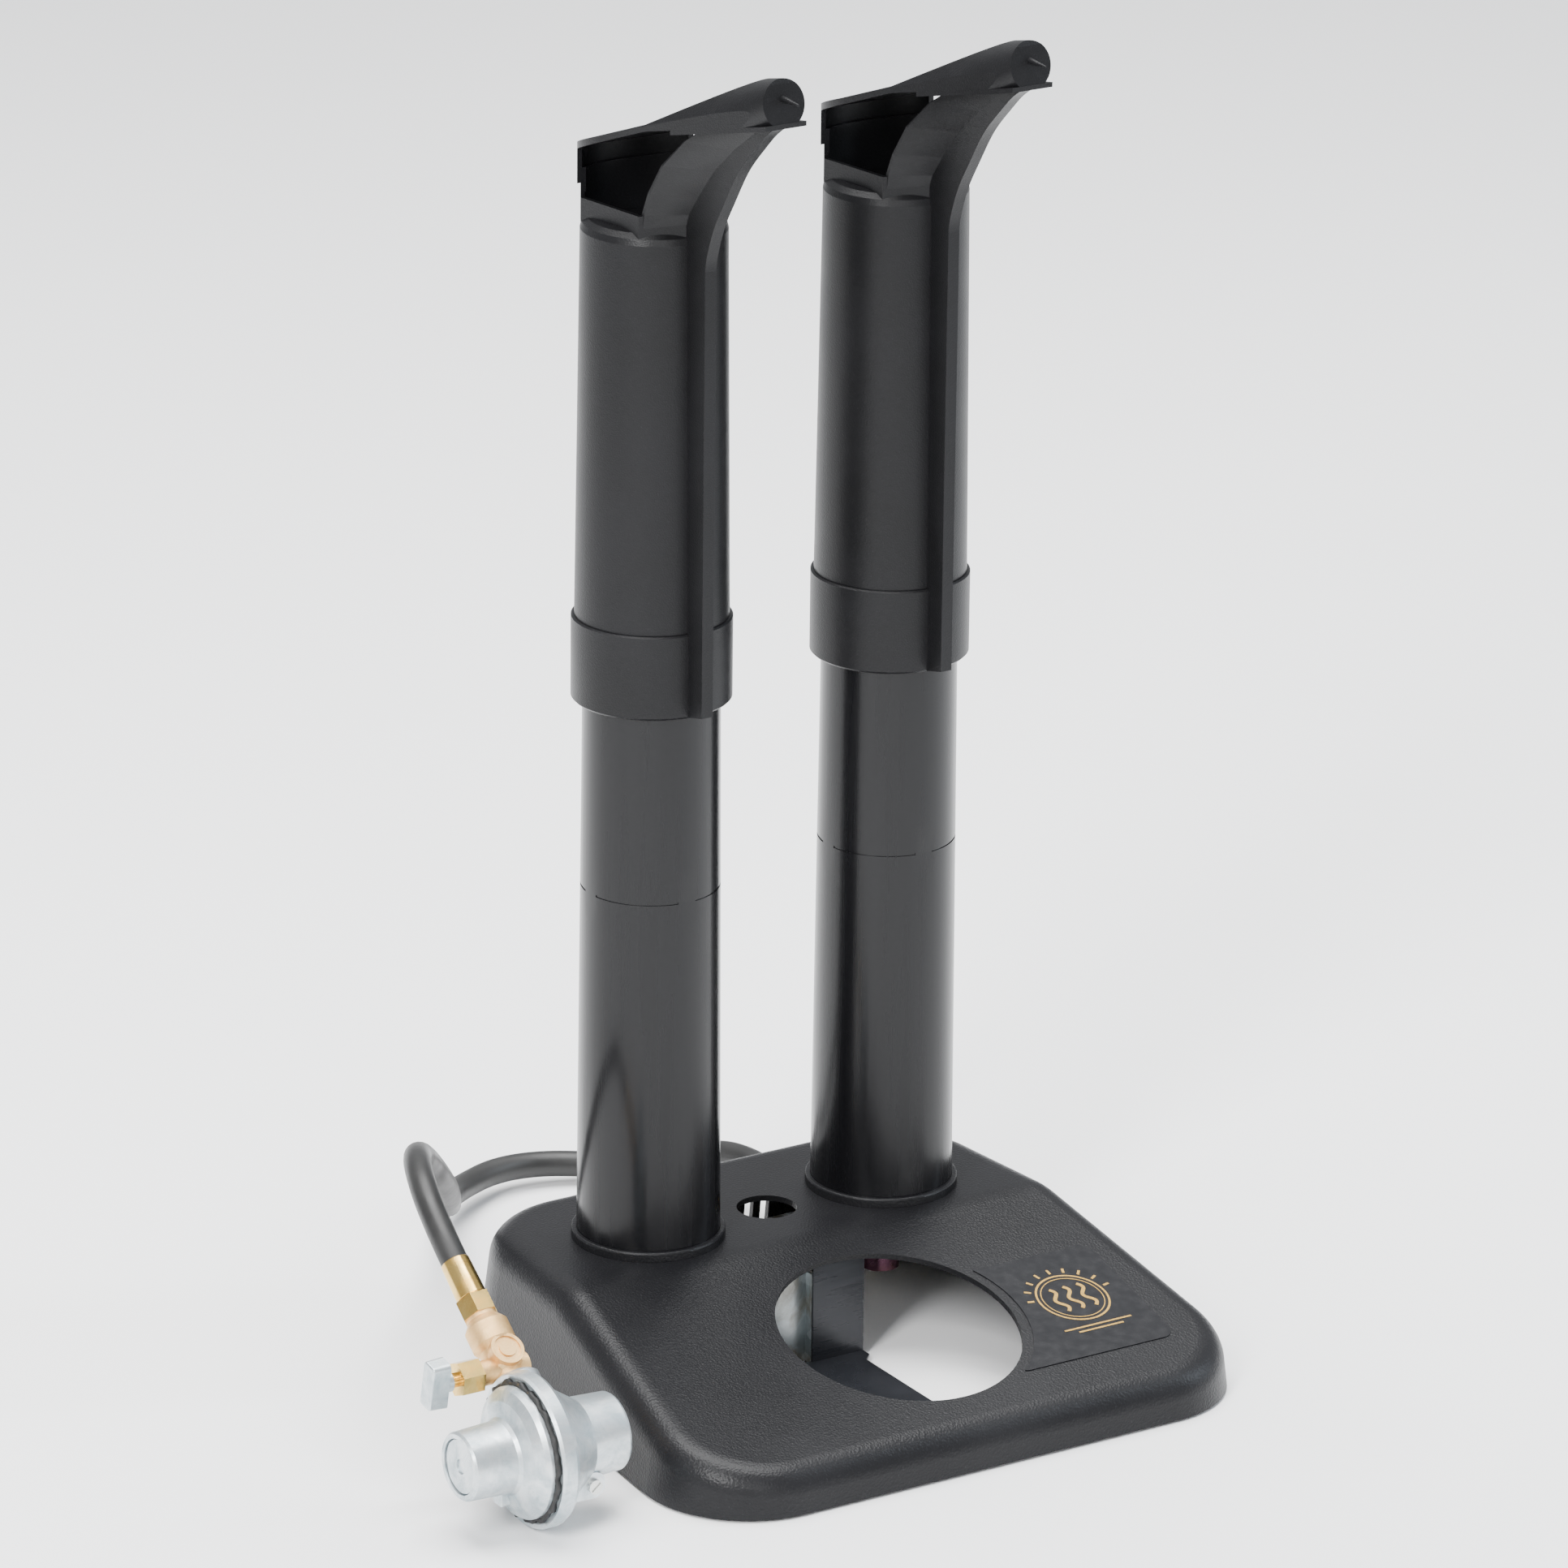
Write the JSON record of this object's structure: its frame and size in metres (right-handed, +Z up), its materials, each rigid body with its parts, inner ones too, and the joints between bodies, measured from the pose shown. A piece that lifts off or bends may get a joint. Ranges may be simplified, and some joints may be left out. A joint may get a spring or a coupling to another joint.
{
  "type": "boot dryer",
  "caption": "Gas-heated boot dryer: moulded base with a cylinder well, upright heat tubes with hooded boot ports, hose, valve and regulator.",
  "frame": {"origin": "on the floor under the middle of the moulded base", "axes": "+Z up the heat tubes, -Y towards the low front edge that the boot ports point over, +X to the right seen from the front"},
  "size_m": [0.3582, 0.3633, 0.5709],
  "materials": {
    "base_plastic": "pebbled satin black",
    "port_plastic": "fine-textured satin black",
    "tube_plastic": "smooth semi-gloss black",
    "label_gloss": "gloss black film with gold print",
    "rubber": "matt black",
    "hose_rubber": "satin black",
    "dark_steel": "satin black paint",
    "galvanised": "galvanised, heat stained",
    "burner_steel": "heat tinted",
    "screw_steel": "zinc plated",
    "brass": "machined and polished",
    "cast_brass": "sand cast, matt",
    "zinc": "die-cast, blotchy satin"
  },
  "bodies": {
    "base": {"base_shell": "base_plastic", "label_panel": "label_gloss", "rubber_feet": "rubber", "left_tube": "tube_plastic", "right_tube": "tube_plastic", "burner_shield": "dark_steel", "heat_shield": "galvanised", "left_burner_tube": "burner_steel", "right_burner_tube": "burner_steel", "left_burner_head": "burner_steel", "right_burner_head": "burner_steel", "burner_bracket": "galvanised", "bracket_screws": "screw_steel", "orifices": "brass", "gas_manifold": "brass", "inlet_fitting": "brass", "inlet_nut": "brass", "inlet_ferrule": "brass", "gas_hose": "hose_rubber", "hose_ferrule": "brass", "hose_swivel": "brass", "valve_body": "cast_brass", "gland_nut": "brass", "regulator_body": "zinc", "regulator_bonnet": "zinc", "diaphragm": "rubber", "bonnet_cap": "zinc", "inlet_seal": "rubber", "inlet_pin": "brass", "regulator_screw": "screw_steel"},
    "left_port_body": {"left_port": "port_plastic"},
    "right_port_body": {"right_port": "port_plastic"},
    "knob_body": {"valve_knob": "zinc", "valve_stem": "brass"}
  },
  "joints": [
    {"name": "left_port_turn", "type": "hinge", "parent": "base", "child": "left_port_body", "pos_m": [-0.0576, 0.0552, 0.3], "axis": [0, 0, 1], "range_deg": [-205, 25]},
    {"name": "right_port_turn", "type": "hinge", "parent": "base", "child": "right_port_body", "pos_m": [0.0576, 0.0552, 0.3], "axis": [0, 0, 1], "range_deg": [-25, 205]},
    {"name": "knob_turn", "type": "hinge", "parent": "base", "child": "knob_body", "pos_m": [-0.205, -0.04065, 0.05509], "axis": [-1, 0, 0], "range_deg": [0, 90]}
  ]
}
